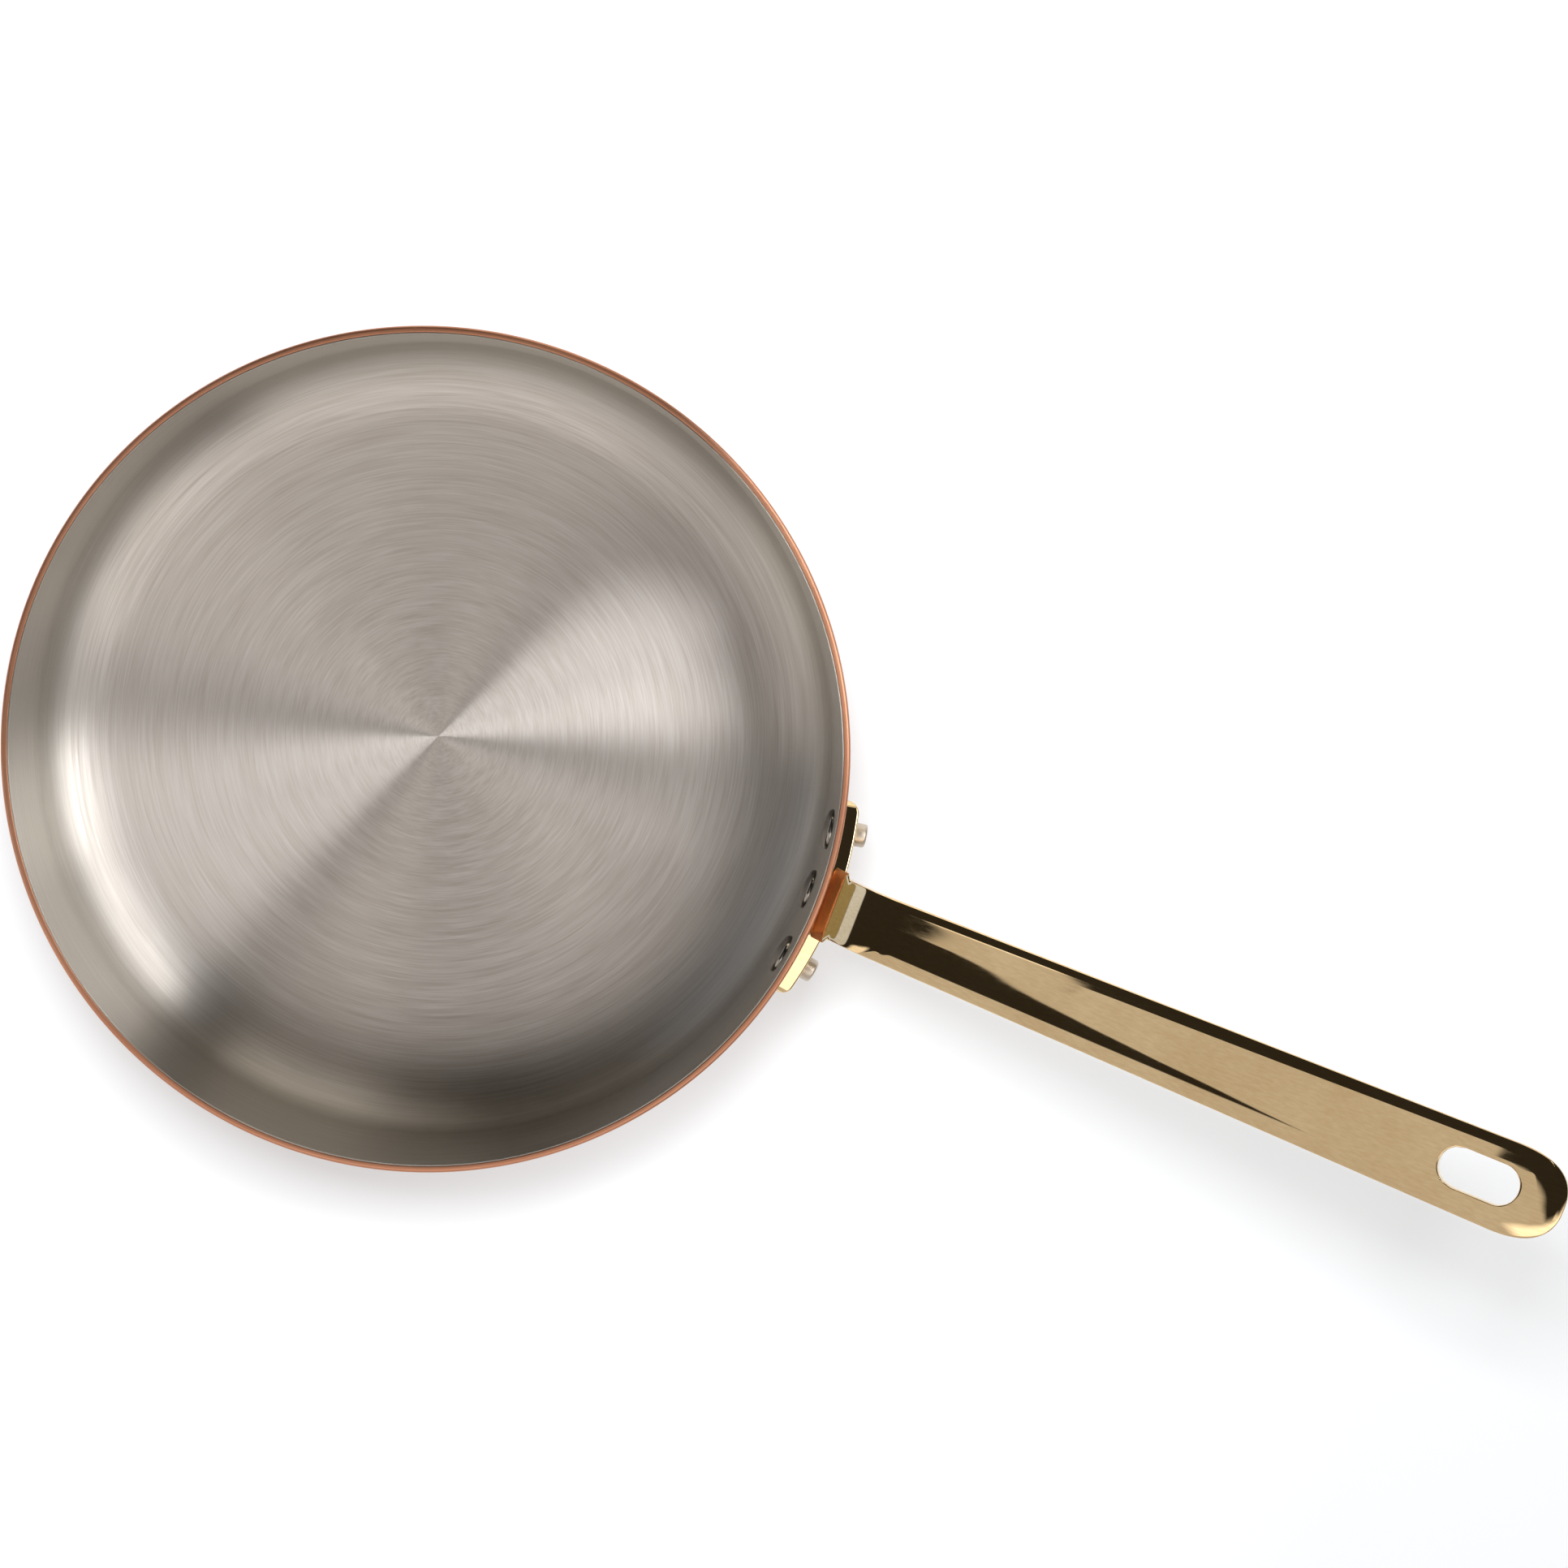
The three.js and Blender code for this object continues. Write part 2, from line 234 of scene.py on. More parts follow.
def addFloor():
    material, tree = newMaterial("whiteStudioFloor")
    path = addNode(tree, "ShaderNodeLightPath")
    watched = addNode(tree, "ShaderNodeMath",
                      {0: path.outputs["Is Camera Ray"], 1: path.outputs["Is Glossy Ray"]}, operation="MAXIMUM")
    paper = addNode(tree, "ShaderNodeBsdfDiffuse", {"Color": fromHex(studio["floorPaper"])})
    shade = addNode(tree, "ShaderNodeBsdfDiffuse", {"Color": fromHex(studio["floorShade"])})
    glow = addNode(tree, "ShaderNodeEmission", {"Strength": studio["floorGlow"]})
    bright = addNode(tree, "ShaderNodeAddShader", {0: shade.outputs[0], 1: glow.outputs[0]})
    mixed = addNode(tree, "ShaderNodeMixShader", {0: watched.outputs[0], 1: paper.outputs[0], 2: bright.outputs[0]})
    showShader(tree, mixed.outputs[0])
    bm = bmesh.new()
    bmesh.ops.create_circle(bm, cap_ends=True, radius=studio["floorRadius"], segments=64)
    bmesh.ops.translate(bm, verts=bm.verts, vec=(0, 0, -studio["floorDrop"] * mm))
    mesh = bpy.data.meshes.new("studioFloor")
    bm.to_mesh(mesh)
    bm.free()
    mesh.materials.append(material)
    floor = bpy.data.objects.new("studioFloor", mesh)
    scene.collection.objects.link(floor)


addFloor()
print("studio set")


# Brushed stainless steel: lathe-brushed rings stretch each highlight across them, into bright and dark wedges
liningSteel = {
    "pale": "#e2dcd7",
    "dark": "#ccc4bc",
    # painted shade: the walls' darker, greener tone stands in for the dark room they mirror
    "wall": "#9c9a90",
    "wallRise": (2.4, 12),  # mm, where the wall's painted shade and smoother finish fade in above the base
    "wallShare": 0.6,
    "wallPolish": 0.07,  # how much smoother the wall is
    "roughness": (0.345, 0.405),
    "anisotropic": 1.0,
    "lineWidth": 0.5,  # mm, drawn coarser than the real 0.1 mm so that it shows
    "bandWidth": 2.6,  # mm
    "lineWeight": 2.6,  # how much more the fine lines count than the bands
    "lineRange": (1.2, 2.4),
    "bump": 0.04,
    "bumpDepth": 0.05,  # mm
}


# Noise drawn out round the pan, with lines of a width in mm; more arcs make them shorter
def ringNoise(tree, width, arcs, detail):
    place = addNode(tree, "ShaderNodeTexCoord").outputs["Object"]
    flat = addNode(tree, "ShaderNodeVectorMath", {0: place, 1: (1, 1, 0)}, operation="MULTIPLY").outputs[0]
    radius = addNode(tree, "ShaderNodeVectorMath", {0: flat}, operation="LENGTH").outputs["Value"]
    heading = addNode(tree, "ShaderNodeVectorMath", {0: flat}, operation="NORMALIZE").outputs[0]
    height = addNode(tree, "ShaderNodeSeparateXYZ", {0: place}).outputs["Z"]
    reach = addNode(tree, "ShaderNodeMath", {0: radius, 1: height}, operation="ADD").outputs[0]
    lines = addNode(tree, "ShaderNodeMath", {0: reach, 1: 1 / (width * mm)}, operation="MULTIPLY").outputs[0]
    across = addNode(tree, "ShaderNodeCombineXYZ", {"Z": lines}).outputs[0]
    point = addNode(tree, "ShaderNodeVectorMath", {0: heading, 1: (arcs, arcs, 0), 2: across},
                    operation="MULTIPLY_ADD").outputs[0]
    return addNode(tree, "ShaderNodeTexNoise", {"Vector": point, "Scale": 1.0, "Detail": detail, "Roughness": 0.6})


def makeLiningSteel():
    material, tree = newMaterial("brushedStainlessSteel")
    fine = ringNoise(tree, liningSteel["lineWidth"], arcs=4, detail=3).outputs["Fac"]
    broad = ringNoise(tree, liningSteel["bandWidth"], arcs=1.5, detail=2).outputs["Fac"]
    both = addNode(tree, "ShaderNodeMath", {0: fine, 1: liningSteel["lineWeight"], 2: broad},
                   operation="MULTIPLY_ADD").outputs[0]
    low, high = liningSteel["lineRange"]
    lines = addNode(tree, "ShaderNodeMapRange", {"Value": both, "From Min": low, "From Max": high}).outputs["Result"]
    dark, pale = fromHex(liningSteel["dark"]), fromHex(liningSteel["pale"])
    tone = addNode(tree, "ShaderNodeMix", {"Factor": lines, 6: dark, 7: pale}, data_type="RGBA").outputs[2]
    low, high = liningSteel["roughness"]
    rough = addNode(tree, "ShaderNodeMapRange", {
        "Value": lines, "From Min": 0, "From Max": 1, "To Min": high, "To Max": low}).outputs["Result"]
    place = addNode(tree, "ShaderNodeTexCoord").outputs["Object"]
    height = addNode(tree, "ShaderNodeSeparateXYZ", {0: place}).outputs["Z"]
    # Painted shade on the walls: the tone darkens towards the wall colour above the corner, and the roughness drops
    # for their smoother finish
    start, stop = liningSteel["wallRise"]
    wallShadeAndPolish = addNode(tree, "ShaderNodeMapRange", {
        "Value": height, "From Min": start * mm, "From Max": stop * mm,
        "To Max": liningSteel["wallShare"]}).outputs["Result"]
    tone = addNode(tree, "ShaderNodeMix", {"Factor": wallShadeAndPolish, 6: tone, 7: fromHex(liningSteel["wall"])},
                   data_type="RGBA").outputs[2]
    smoother = -liningSteel["wallPolish"] / liningSteel["wallShare"]
    rough = addNode(tree, "ShaderNodeMath", {0: wallShadeAndPolish, 1: smoother, 2: rough}, operation="MULTIPLY_ADD").outputs[0]
    bump = addNode(tree, "ShaderNodeBump", {
        "Height": fine, "Strength": liningSteel["bump"], "Distance": liningSteel["bumpDepth"] * mm})
    brush = addNode(tree, "ShaderNodeTangent", direction_type="UV_MAP", uv_map="brushing")
    shader = addNode(tree, "ShaderNodeBsdfPrincipled", {
        "Base Color": tone, "Metallic": 1.0, "Roughness": rough, "Anisotropic": liningSteel["anisotropic"],
        "Normal": bump.outputs[0], "Tangent": brush.outputs[0]})
    showShader(tree, shader.outputs[0])
    return material


# Satin copper: warm metal with faint turned lines and a soft sheen
bodyCopper = {"pale": "#cf9a7d", "dark": "#b87d60", "roughness": (0.3, 0.4), "anisotropic": 0.8, "lineWidth": 0.6,
              "bandWidth": 6}  # widths in mm


def makeBodyCopper():
    material, tree = newMaterial("satinCopper")
    fine = ringNoise(tree, bodyCopper["lineWidth"], arcs=3, detail=3).outputs["Fac"]
    broad = ringNoise(tree, bodyCopper["bandWidth"], arcs=2, detail=2).outputs["Fac"]
    dark, pale = fromHex(bodyCopper["dark"]), fromHex(bodyCopper["pale"])
    tone = addNode(tree, "ShaderNodeMix", {"Factor": broad, 6: dark, 7: pale}, data_type="RGBA").outputs[2]
    low, high = bodyCopper["roughness"]
    rough = addNode(tree, "ShaderNodeMapRange", {
        "Value": fine, "From Min": noiseLow, "From Max": noiseHigh, "To Min": low, "To Max": high}).outputs["Result"]
    brush = addNode(tree, "ShaderNodeTangent", direction_type="UV_MAP", uv_map="brushing")
    shader = addNode(tree, "ShaderNodeBsdfPrincipled", {
        "Base Color": tone, "Metallic": 1.0, "Roughness": rough, "Anisotropic": bodyCopper["anisotropic"],
        "Tangent": brush.outputs[0]})
    showShader(tree, shader.outputs[0])
    return material


# Polished cast brass: a mirror of the room in yellow metal, with faint hairlines along the grip
handleBrass = {
    "pale": "#e6cda2",
    "dark": "#d6ba8e",
    "roughness": (0.015, 0.03),
    "wave": 26,  # mm
    "hairline": 0.7,  # mm, drawn coarser than the real lines so that it shows
    "drawn": 0.03,  # the hairlines' width as a share of their length
    "mottleRange": (0.7, 1.3),
    "bump": 0.004,
    "bumpDepth": 1,  # mm
}


def makeHandleBrass():
    material, tree = newMaterial("polishedBrass")
    place = addNode(tree, "ShaderNodeTexCoord").outputs["Object"]
    wave = addNode(tree, "ShaderNodeTexNoise",
                   {"Vector": place, "Scale": 1000 / handleBrass["wave"], "Detail": 1.0}).outputs["Fac"]
    drawn = addNode(tree, "ShaderNodeVectorMath", {0: place, 1: (handleBrass["drawn"], 1, 1)},
                    operation="MULTIPLY").outputs[0]
    hair = addNode(tree, "ShaderNodeTexNoise",
                   {"Vector": drawn, "Scale": 1000 / handleBrass["hairline"], "Detail": 3.0}).outputs["Fac"]
    both = addNode(tree, "ShaderNodeMath", {0: wave, 1: hair}, operation="ADD").outputs[0]
    low, high = handleBrass["mottleRange"]
    mottle = addNode(tree, "ShaderNodeMapRange", {"Value": both, "From Min": low, "From Max": high}).outputs["Result"]
    dark, pale = fromHex(handleBrass["dark"]), fromHex(handleBrass["pale"])
    tone = addNode(tree, "ShaderNodeMix", {"Factor": mottle, 6: dark, 7: pale}, data_type="RGBA").outputs[2]
    low, high = handleBrass["roughness"]
    rough = addNode(tree, "ShaderNodeMapRange", {
        "Value": hair, "From Min": noiseLow, "From Max": noiseHigh, "To Min": low, "To Max": high}).outputs["Result"]
    bump = addNode(tree, "ShaderNodeBump", {
        "Height": wave, "Strength": handleBrass["bump"], "Distance": handleBrass["bumpDepth"] * mm})
    shader = addNode(tree, "ShaderNodeBsdfPrincipled",
                     {"Base Color": tone, "Metallic": 1.0, "Roughness": rough, "Normal": bump.outputs[0]})
    showShader(tree, shader.outputs[0])
    return material


# Stainless rivets: satin drums outside, burnished domes inside whose darker tone is painted shade, both with a fine
# mottle
rivetSteel = {
    "drum": {"name": "satinStainlessSteel", "pale": "#d2c6b6", "dark": "#b8ab9b", "roughness": (0.4, 0.46)},
    # dome: a smoother burnished finish, with a darker tone that is painted shade
    "dome": {"name": "burnishedSteelPaintedShade", "pale": "#a8a29a", "dark": "#918a82", "roughness": (0.08, 0.14)},
    "mottle": 0.7,  # mm
    "bump": 0.1,
    "bumpDepth": 0.05,  # mm
}


def makeRivetSteel(finish):
    material, tree = newMaterial(finish["name"])
    place = addNode(tree, "ShaderNodeTexCoord").outputs["Object"]
    mottle = addNode(tree, "ShaderNodeTexNoise",
                     {"Vector": place, "Scale": 1000 / rivetSteel["mottle"], "Detail": 3.0}).outputs["Fac"]
    dark, pale = fromHex(finish["dark"]), fromHex(finish["pale"])
    tone = addNode(tree, "ShaderNodeMix", {"Factor": mottle, 6: dark, 7: pale}, data_type="RGBA").outputs[2]
    low, high = finish["roughness"]
    rough = addNode(tree, "ShaderNodeMapRange", {
        "Value": mottle, "From Min": noiseLow, "From Max": noiseHigh,
        "To Min": low, "To Max": high}).outputs["Result"]
    bump = addNode(tree, "ShaderNodeBump", {
        "Height": mottle, "Strength": rivetSteel["bump"], "Distance": rivetSteel["bumpDepth"] * mm})
    shader = addNode(tree, "ShaderNodeBsdfPrincipled",
                     {"Base Color": tone, "Metallic": 1.0, "Roughness": rough, "Normal": bump.outputs[0]})
    showShader(tree, shader.outputs[0])
    return material


# Body: copper outside, steel lining bonded inside, one flared wall with a rounded corner
body = {
    "rim": 120, "height": 57.4, "flare": 3.5, "corner": 16.5, "steel": 0.4, "bond": 0.05, "copper": 1.9,
    "turnSteps": 240, "cornerSteps": 20, "cornerStretch": 1.38, "copperEdge": (0.2, 0.9), "steelEdge": (0.12, 0.12),
    "edgeSteps": 5, "baseRings": (20, 60), "cornerRoom": 22, "sharp": 50,
}
flare = radians(body["flare"])
wall = body["steel"] + body["bond"] + body["copper"]
cornerHeight = wall + body["corner"]
baseRadius = body["rim"] - cornerHeight / cos(flare) - tan(flare) * (body["height"] - cornerHeight)


# Radius in mm at a height, on the face that lies this far outside the cooking face
def wallRadius(offset, height):
    return baseRadius + (body["corner"] + offset) / cos(flare) + tan(flare) * (height - cornerHeight)


# Half sections, drawn in the XZ plane and turned round Z
def addWire(bm, points):
    verts = [bm.verts.new((x * mm, 0, z * mm)) for x, z in points]
    for before, after in zip(verts, verts[1:]):
        bm.edges.new((before, after))
    return verts


def roundCorner(bm, vert, cut, steps):
    bmesh.ops.bevel(bm, geom=[vert], offset=cut * mm, offset_type="OFFSET", segments=steps, profile=0.5,
                    affect="VERTICES", material=-1)


def turnWire(bm, steps):
    bmesh.ops.spin(bm, geom=bm.verts[:] + bm.edges[:], cent=(0, 0, 0), axis=(0, 0, 1), angle=2 * pi,
                   steps=steps, use_merge=True)
    bmesh.ops.remove_doubles(bm, verts=bm.verts, dist=1e-7)
    bmesh.ops.recalc_face_normals(bm, faces=bm.faces)


# A shell between two faces; its inner corner may be stretched towards the middle
def makeShell(inner, outer, edges, stretch):
    bm = bmesh.new()
    inFloor, outFloor = wall - inner, wall - outer
    inCorner, outCorner = wallRadius(inner, inFloor), wallRadius(outer, outFloor)
    top = body["height"]
    near, far = body["baseRings"]
    verts = addWire(bm, [(0, inFloor), (near, inFloor), (far, inFloor), (inCorner - body["cornerRoom"], inFloor),
                         (inCorner, inFloor), (wallRadius(inner, top), top), (wallRadius(outer, top), top),
                         (outCorner, outFloor), (far, outFloor), (0, outFloor)])
    square = tan((pi / 2 + flare) / 2)  # cut back from a sharp corner for each mm of rounding
    roundCorner(bm, verts[4], (body["corner"] + inner) / square, body["cornerSteps"])
    endX, endZ = baseRadius + (body["corner"] + inner) * cos(flare), wall + body["corner"]
    for vert in bm.verts:
        x, z = vert.co.x / mm, vert.co.z / mm
        if baseRadius - 0.01 < x < endX and inFloor - 0.01 < z < endZ:
            vert.co.x = (endX - (endX - x) * stretch) * mm
    roundCorner(bm, verts[7], (body["corner"] + outer) / square, body["cornerSteps"])
    roundCorner(bm, verts[5], edges[0], body["edgeSteps"])
    roundCorner(bm, verts[6], edges[1], body["edgeSteps"])
    turnWire(bm, body["turnSteps"])
    return bm


# The brushing map runs outwards along U and round the pan along V
def mapBrushing(bm):
    layer = bm.loops.layers.uv.new("brushing")
    for face in bm.faces:
        middle = face.calc_center_median()
        heading = atan2(middle.y, middle.x)
        for loop in face.loops:
            x, y, z = loop.vert.co
            radius = sqrt(x * x + y * y)
            turn = atan2(y, x) - heading if radius > 1e-6 else 0
            turn = (turn + pi) % (2 * pi) - pi
            loop[layer].uv = (radius + z, (heading + turn) / (2 * pi))


lining = makeShell(0, body["steel"], body["steelEdge"], body["cornerStretch"])
mapBrushing(lining)
addPiece("steelLining", lining, makeLiningSteel(), "steel_lining", body["sharp"])
copper = makeShell(body["steel"] + body["bond"], wall, body["copperEdge"], 1)
mapBrushing(copper)
addPiece("copperBody", copper, makeBodyCopper(), "copper_body", body["sharp"])


# Rivets: a low dome inside, a shank, and a drum-shaped head over the plate
rivets = {
    "spacing": 39.6, "upperDepth": 14, "lowerDepth": 23.5, "shank": 5.4, "dome": 11.7, "domeHeight": 2.2,
    "skirt": 1.1, "skirtRounding": 0.85,
    "head": 6.7, "headHeight": 3.6, "headRounding": 0.8, "footRounding": 0.2, "seat": 0.06, "turnSteps": 48,
    "domeSteps": 6, "skirtSteps": 7, "headSteps": 6, "footSteps": 2, "sharp": 40,
}
plate = {
    "thickness": 4.2, "rounding": 0.6, "corner": 2.6, "topWidth": 20, "topDepth": 4.4, "lowerReach": 9.5,
    "earReach": 6.9, "earTopDepth": 7.4, "seat": 0.06, "strips": 3, "stripReach": 24,
    "earRounding": 3.4, "earThinning": 0.85, "earSteps": 8, "edgeSteps": 6,
    "cornerSteps": 10,  # for each radian
}


def makeRivet(depth, azimuth):
    bm = bmesh.new()
    inSeat = -wall - rivets["seat"]
    outSeat = plate["seat"] + plate["thickness"] + rivets["seat"]
    domeRadius, domeHeight = rivets["dome"] / 2, rivets["domeHeight"] - rivets["skirt"]
    skirtEnd = inSeat - rivets["skirt"]
    ball = (domeRadius ** 2 + domeHeight ** 2) / (2 * domeHeight)
    headRadius, headEnd = rivets["head"] / 2, outSeat + rivets["headHeight"]
    apex = bm.verts.new((0, 0, (skirtEnd - domeHeight) * mm))
    arc = bmesh.ops.spin(bm, geom=[apex], cent=(0, 0, (skirtEnd - domeHeight + ball) * mm), axis=(0, -1, 0),
                         angle=asin(domeRadius / ball), steps=rivets["domeSteps"])
    last = [v for v in arc["geom_last"] if isinstance(v, bmesh.types.BMVert)][0]
    verts = addWire(bm, [(domeRadius, inSeat), (rivets["shank"] / 2, inSeat), (rivets["shank"] / 2, outSeat),
                         (headRadius, outSeat), (headRadius, headEnd), (0, headEnd)])
    bm.edges.new((last, verts[0]))
    roundCorner(bm, verts[4], rivets["headRounding"], rivets["headSteps"])
    roundCorner(bm, verts[3], rivets["footRounding"], rivets["footSteps"])
    roundCorner(bm, last, rivets["skirtRounding"], rivets["skirtSteps"])
    turnWire(bm, rivets["turnSteps"])
    for face in bm.faces:
        face.material_index = 1 if face.calc_center_median().z < (inSeat + 0.01) * mm else 0
    height = body["height"] - depth
    place = (Matrix.Rotation(azimuth, 4, "Z") @ Matrix.Translation((wallRadius(wall, height) * mm, 0, height * mm))
             @ Matrix.Rotation(pi / 2 + flare, 4, "Y"))
    bmesh.ops.transform(bm, matrix=place, verts=bm.verts)
    return bm


drumSteel, shadedDomeSteel = makeRivetSteel(rivetSteel["drum"]), makeRivetSteel(rivetSteel["dome"])
upperTurn = rivets["spacing"] / 2 / body["rim"]
for name, node, depth, azimuth in (("rivetLeft", "rivet_left", rivets["upperDepth"], upperTurn),
                                   ("rivetRight", "rivet_right", rivets["upperDepth"], -upperTurn),
                                   ("rivetLower", "rivet_lower", rivets["lowerDepth"], 0)):
    rivet = addPiece(name, makeRivet(depth, azimuth), drumSteel, node, rivets["sharp"])
    rivet.data.materials.append(shadedDomeSteel)


# Handle: cast in one piece, a plate on the wall, a climbing neck and a pillow-shaped grip with a slot
handle = {
    "neckWidth": 18, "neckTopDepth": 4.4, "rootThickness": 12, "neckRunOut": 22.1, "neckRise": 15.2,
    "neckTopAngle": 52, "neckUnderAngle": 48, "fillet": 1.6, "reach": 216.35, "slope": 15, "gripWidth": 25.5,
    "gripThickness": 8, "tipThickness": 5.5, "tipLength": 16.95, "tipSquareness": 2.5, "crownSquareness": 2.7,
    "neckSquareness": 6,
    "slotLength": 23.3, "slotWidth": 11.6, "slotToTip": 13.15, "slotRounding": 0.35, "edgeRounding": 0.3,
    "crownEnd": 0.92, "draft": 7, "draftReach": 12, "sag": 0.7, "sagLength": 18, "leanLength": 20,
    "neckFade": (2, 10),  # mm short of the shoulder where the neck's flat crown ends, and mm to its full flatness
    "columns": (0, 0.18, 0.36, 0.53, 0.68, 0.79, 0.87, 0.93, 1),  # from the slot to the edge
    "slotRoom": 7, "bendRoom": 14,  # mm of closer rows behind the slot and past the shoulder
    "tipRows": 28, "slotRows": 5, "slotRoomRows": 9, "gripRows": 34, "bendRows": 40, "rootRows": 6,
    "middleColumns": 8, "edgeSteps": 4, "sharp": 40,
}
slope = radians(handle["slope"])
rootTop = body["height"] - handle["neckTopDepth"]
rootX = wallRadius(wall, rootTop) + plate["seat"]
plateFaceX = rootX + plate["thickness"]
shoulderX = rootX + handle["neckRunOut"]
tipX = body["rim"] + handle["reach"]
tipStartX = tipX - handle["tipLength"]
shoulderTop = rootTop + handle["neckRise"]
slotHalf = handle["slotWidth"] / 2
slotX = tipX - (handle["slotToTip"] + handle["slotLength"] / 2) * cos(slope)
slotReach = (handle["slotLength"] / 2 - slotHalf) * cos(slope)
backX, frontX = slotX - slotReach, slotX + slotReach  # centres of the slot's round ends


# Height on a cubic curve that leaves one point and meets another at given slopes
def ease(x, x0, z0, steep0, x1, z1, steep1):
    span = x1 - x0
    t = (x - x0) / span
    rise = z0 * (1 + 2 * t) * (1 - t) ** 2 + z1 * t * t * (3 - 2 * t)
    return rise + span * t * (1 - t) * (steep0 * (1 - t) - steep1 * t)


def topHeight(x):
    if x > shoulderX:
        past = max(x - frontX + handle["sagLength"], 0)
        bent = min(past, handle["sagLength"])
        sag = tan(radians(handle["sag"])) * (bent * bent / 2 / handle["sagLength"] + past - bent)
        return shoulderTop + (x - shoulderX) * tan(slope) - sag
    return ease(x, rootX, rootTop, tan(radians(handle["neckTopAngle"])), shoulderX, shoulderTop, tan(slope))


def underHeight(x):
    along = min(max((x - shoulderX) / (tipX - shoulderX), 0), 1)
    thickness = (handle["gripThickness"] + (handle["tipThickness"] - handle["gripThickness"]) * along) / cos(slope)
    if x > shoulderX:
        return topHeight(x) - thickness
    return ease(x, rootX, rootTop - handle["rootThickness"], tan(radians(handle["neckUnderAngle"])),
                shoulderX, shoulderTop - thickness, tan(slope))


def intoTip(x):
    return min(max((x - tipStartX) / handle["tipLength"], 0), 1)


def halfWidth(x):
    along = min(max((x - plateFaceX) / (tipStartX - plateFaceX), 0), 1)
    straight = (handle["neckWidth"] + (handle["gripWidth"] - handle["neckWidth"]) * along) / 2
    reach = min(max(plateFaceX + handle["fillet"] - x, 0), handle["fillet"])
    straight += handle["fillet"] - sqrt(handle["fillet"] ** 2 - reach ** 2)
    return straight * (1 - intoTip(x) ** handle["tipSquareness"]) ** (1 / handle["tipSquareness"])


# Distance from the slot's front centre to the handle's outline, at an angle from the handle's line
def tipReach(angle):
    near, far = 0, handle["reach"]
    for _ in range(40):
        middle = (near + far) / 2
        x = frontX + middle * cos(angle)
        inside = x < tipX and middle * sin(angle) < halfWidth(x)
        near, far = (middle, far) if inside else (near, middle)
    return near


# Share of the half thickness at a share of the half width: 1 on the crown and less at the edge, with a flatter
# crown on the neck
def pillow(share, x):
    short, length = handle["neckFade"]
    neck = min(max((shoulderX - short - x) / length, 0), 1)
    neck *= neck * (3 - 2 * neck)
    square = handle["crownSquareness"] + (handle["neckSquareness"] - handle["crownSquareness"]) * neck
    return (1 - (share * handle["crownEnd"]) ** square) ** (1 / square)


# The first row of points, extruded from row to row
def drawRows(bm, rows):
    verts = [bm.verts.new(point) for point in rows[0]]
    edges = [bm.edges.new(pair) for pair in zip(verts, verts[1:])]
    for row in rows[1:]:
        made = bmesh.ops.extrude_edge_only(bm, edges=edges)["geom"]
        fresh = [part for part in made if isinstance(part, bmesh.types.BMVert)]
        moved = []
        for before, point in zip(verts, row):
            after = [v for v in fresh if any(e.other_vert(v) is before for e in v.link_edges)][0]
            after.co = point
            moved.append(after)
        verts = moved
        edges = [bm.edges.get(pair) for pair in zip(verts, verts[1:])]


# From the slot's front end to the tip's outline
def fanRow(angle):
    reach = tipReach(angle)
    row = []
    for t in handle["columns"]:
        inX = slotHalf * cos(slope) * cos(angle)
        x = frontX + inX + (reach * cos(angle) - inX) * t
        y = (slotHalf + (reach - slotHalf) * t) * sin(angle)
        share = slotHalf / reach
        row.append(Vector((x, y, pillow(share + (1 - share) * t, x))))
    return row


# From the slot's side, or as far out behind it, to the edge
def stripRow(x):
    share = slotHalf / halfWidth(max(x, backX))
    row = []
    for t in handle["columns"]:
        across = share + (1 - share) * t
        row.append(Vector((x, halfWidth(x) * across, pillow(across, x))))
    return row


# Behind the slot, from the middle line outwards; t runs from the slot's round end to a straight row at startX
def middleRow(x, startX, t):
    row = []
    for k in range(handle["middleColumns"] + 1):
        y = slotHalf * k / handle["middleColumns"]
        curl = backX - sqrt(slotHalf ** 2 - y * y) * cos(slope)
        rowX = x if t is None else curl + (startX - curl) * t
        across = y / halfWidth(backX)
        row.append(Vector((rowX, halfWidth(min(rowX, backX)) * across, pillow(across, rowX))))
    return row


# One quarter of the casting, drawn flat: a strip round the slot and along the edge, then the middle behind the slot.
# The third value of a point is the pillow's share.
def drawQuarter(bm):
    startX = backX - slotHalf - handle["slotRoom"]
    bendX = shoulderX + handle["bendRoom"]
    stations = []
    for fromX, toX, count in ((backX, startX, handle["slotRoomRows"]), (startX, bendX, handle["gripRows"]),
                              (bendX, plateFaceX, handle["bendRows"]), (plateFaceX, rootX, handle["rootRows"])):
        stations += [fromX + (toX - fromX) * i / count for i in range(1, count + 1)]
    rows = [fanRow(pi / 2 * i / handle["tipRows"]) for i in range(handle["tipRows"])]
    rows += [stripRow(frontX + (backX - frontX) * i / handle["slotRows"]) for i in range(handle["slotRows"] + 1)]
    drawRows(bm, rows + [stripRow(x) for x in stations])
    behind = handle["slotRoomRows"]
    rows = [middleRow(0, startX, i / behind) for i in range(behind + 1)]
    drawRows(bm, rows + [middleRow(x, startX, None) for x in stations[behind:]])


# The flat casting bent to the side view, its grip sections square to the slope
def bendHandle(bm):
    for vert in bm.verts:
        x, y, up = vert.co
        lean = min(max((x - shoulderX) / handle["leanLength"], 0), 1)
        middle = (topHeight(x) + underHeight(x)) / 2
        thick = (topHeight(x) - underHeight(x)) / 2
        half = thick * up
        drop = max(pillow(1, x) - up, 0) * thick * tan(radians(handle["draft"]))
        y *= 1 - drop * abs(y) ** 3 / handle["draftReach"] ** 4
        x -= lean * half * cos(slope) * sin(slope)
        vert.co = Vector((x, y, middle + half * (1 - lean * sin(slope) ** 2))) * mm


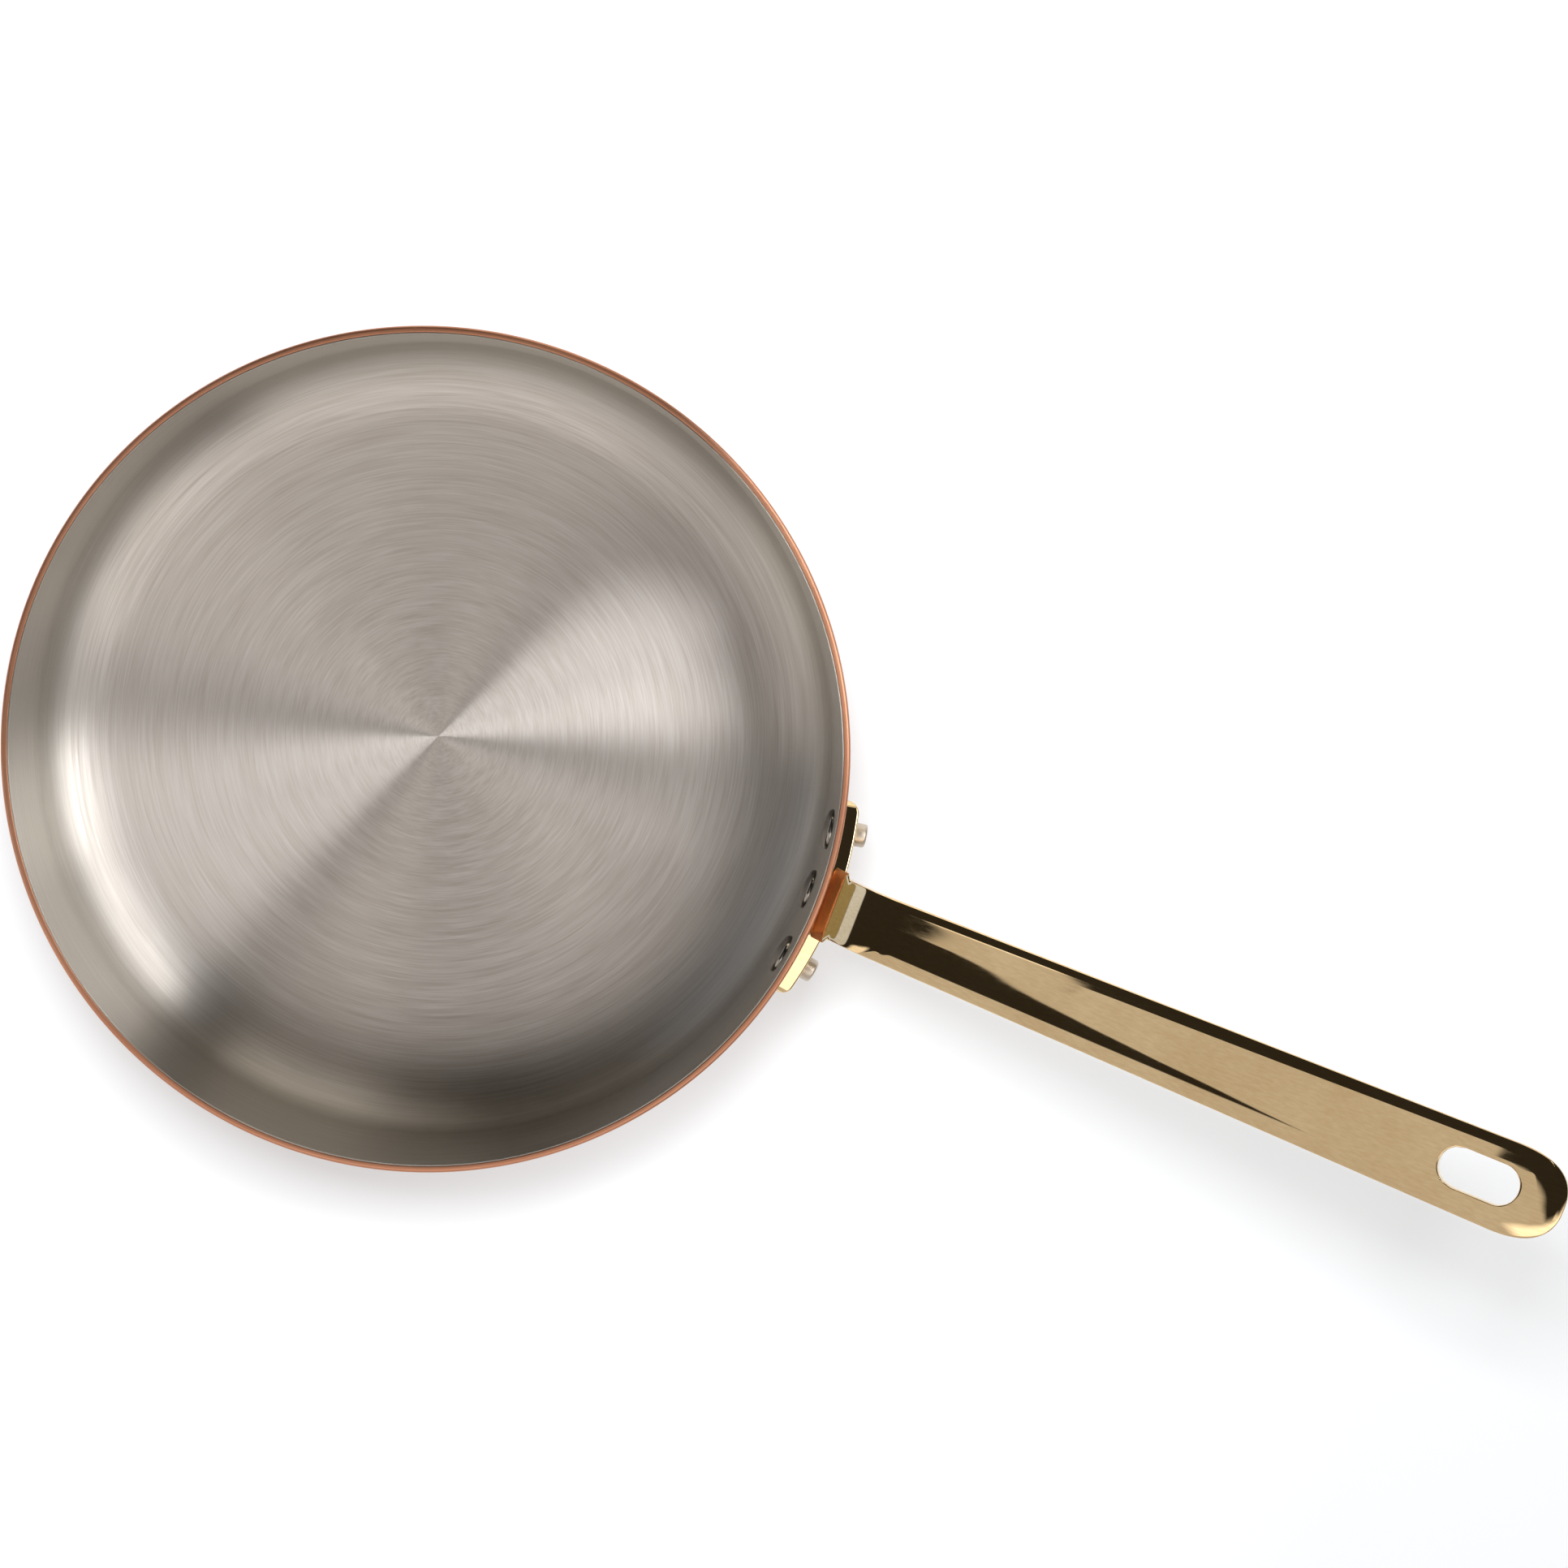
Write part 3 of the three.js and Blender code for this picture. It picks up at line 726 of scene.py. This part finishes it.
def makeHandle():
    bm = bmesh.new()
    drawQuarter(bm)
    bmesh.ops.remove_doubles(bm, verts=bm.verts, dist=0.01)
    for axis, merge in (("Y", 0.005), ("Z", 0)):
        bmesh.ops.mirror(bm, geom=bm.verts[:] + bm.edges[:] + bm.faces[:], axis=axis, merge_dist=merge)
    lips = [e for e in bm.edges if e.is_boundary]
    slotLips = [e for e in lips if all(abs(v.co.x - slotX) < 0.7 * handle["slotLength"]
                                       and abs(v.co.y) < slotHalf + 0.5 for v in e.verts)]
    edgeLips = [e for e in lips if e not in slotLips]
    bmesh.ops.bridge_loops(bm, edges=slotLips)
    bmesh.ops.bridge_loops(bm, edges=edgeLips)
    edgeLips = [e for e in edgeLips if all(v.co.x > rootX + 0.01 for v in e.verts)]
    bendHandle(bm)
    bmesh.ops.recalc_face_normals(bm, faces=bm.faces)
    for edges, rounding in ((slotLips, "slotRounding"), (edgeLips, "edgeRounding")):
        bmesh.ops.bevel(bm, geom=edges, offset=handle[rounding] * mm, offset_type="OFFSET",
                        segments=handle["edgeSteps"], profile=0.5, affect="EDGES", material=-1)
    return bm


# The plate: level at the neck, an ear by each upper rivet and a point under the lower one, drawn flat as arc length
# and height, then wrapped on the wall
def addPlate(bm):
    flat = bmesh.new()
    corner = plate["corner"]
    earX, topX = rivets["spacing"] / 2 + plate["earReach"], plate["topWidth"] / 2
    earY, topY = body["height"] - plate["earTopDepth"] - corner, body["height"] - plate["topDepth"] - corner
    lowerY = body["height"] - rivets["lowerDepth"] - plate["lowerReach"] + corner
    centres = [Vector((x, y, 0)) for x, y in ((-earX, earY), (0, lowerY), (earX, earY), (topX, topY), (-topX, topY))]
    ends = []
    for i, centre in enumerate(centres):
        before, after = centre - centres[i - 1], centres[(i + 1) % len(centres)] - centre
        start = atan2(before.y, before.x) - pi / 2
        sweep = (atan2(after.y, after.x) - atan2(before.y, before.x)) % (2 * pi)
        first = flat.verts.new(centre + Vector((cos(start), sin(start), 0)) * corner)
        arc = bmesh.ops.spin(flat, geom=[first], cent=centre, axis=(0, 0, 1), angle=sweep,
                             steps=max(3, round(sweep * plate["cornerSteps"])))
        ends.append((first, [v for v in arc["geom_last"] if isinstance(v, bmesh.types.BMVert)][0]))
    for i in range(len(centres)):
        flat.edges.new((ends[i - 1][1], ends[i][0]))
    face = bmesh.ops.contextual_create(flat, geom=flat.edges[:])["faces"]
    raised = bmesh.ops.extrude_face_region(flat, geom=face)["geom"]
    topVerts = [g for g in raised if isinstance(g, bmesh.types.BMVert)]
    bmesh.ops.translate(flat, verts=topVerts, vec=(0, 0, plate["thickness"]))
    keep = set(topVerts)
    rimEdges = [e for e in flat.edges if all(v in keep for v in e.verts)]
    bmesh.ops.recalc_face_normals(flat, faces=flat.faces)
    bmesh.ops.bevel(flat, geom=rimEdges, offset=plate["rounding"], offset_type="OFFSET",
                    segments=plate["edgeSteps"], profile=0.5, affect="EDGES", material=-1)
    reach, rounding = earX + corner, plate["earRounding"]
    strips = [reach - rounding * i / plate["earSteps"] for i in range(1, plate["earSteps"] + 1)]
    strips += [-u for u in strips] + list(range(-plate["stripReach"], plate["stripReach"] + 1, plate["strips"]))
    for u in strips:
        bmesh.ops.bisect_plane(flat, geom=flat.verts[:] + flat.edges[:] + flat.faces[:], plane_co=(u, 0, 0),
                               plane_no=(1, 0, 0))
    for vert in flat.verts:
        u, height, out = vert.co
        past = max(abs(u) - reach + rounding, 0) / rounding
        radius = wallRadius(wall + plate["seat"] + out * sqrt(1 - plate["earThinning"] * past * past), height)
        vert.co = Vector((radius * cos(u / body["rim"]), radius * sin(u / body["rim"]), height)) * mm
    bmesh.ops.recalc_face_normals(flat, faces=flat.faces)
    loose = bpy.data.meshes.new("plateShape")
    flat.to_mesh(loose)
    flat.free()
    bm.from_mesh(loose)
    bpy.data.meshes.remove(loose)


casting = makeHandle()
addPlate(casting)
addPiece("brassHandle", casting, makeHandleBrass(), "handle", handle["sharp"])
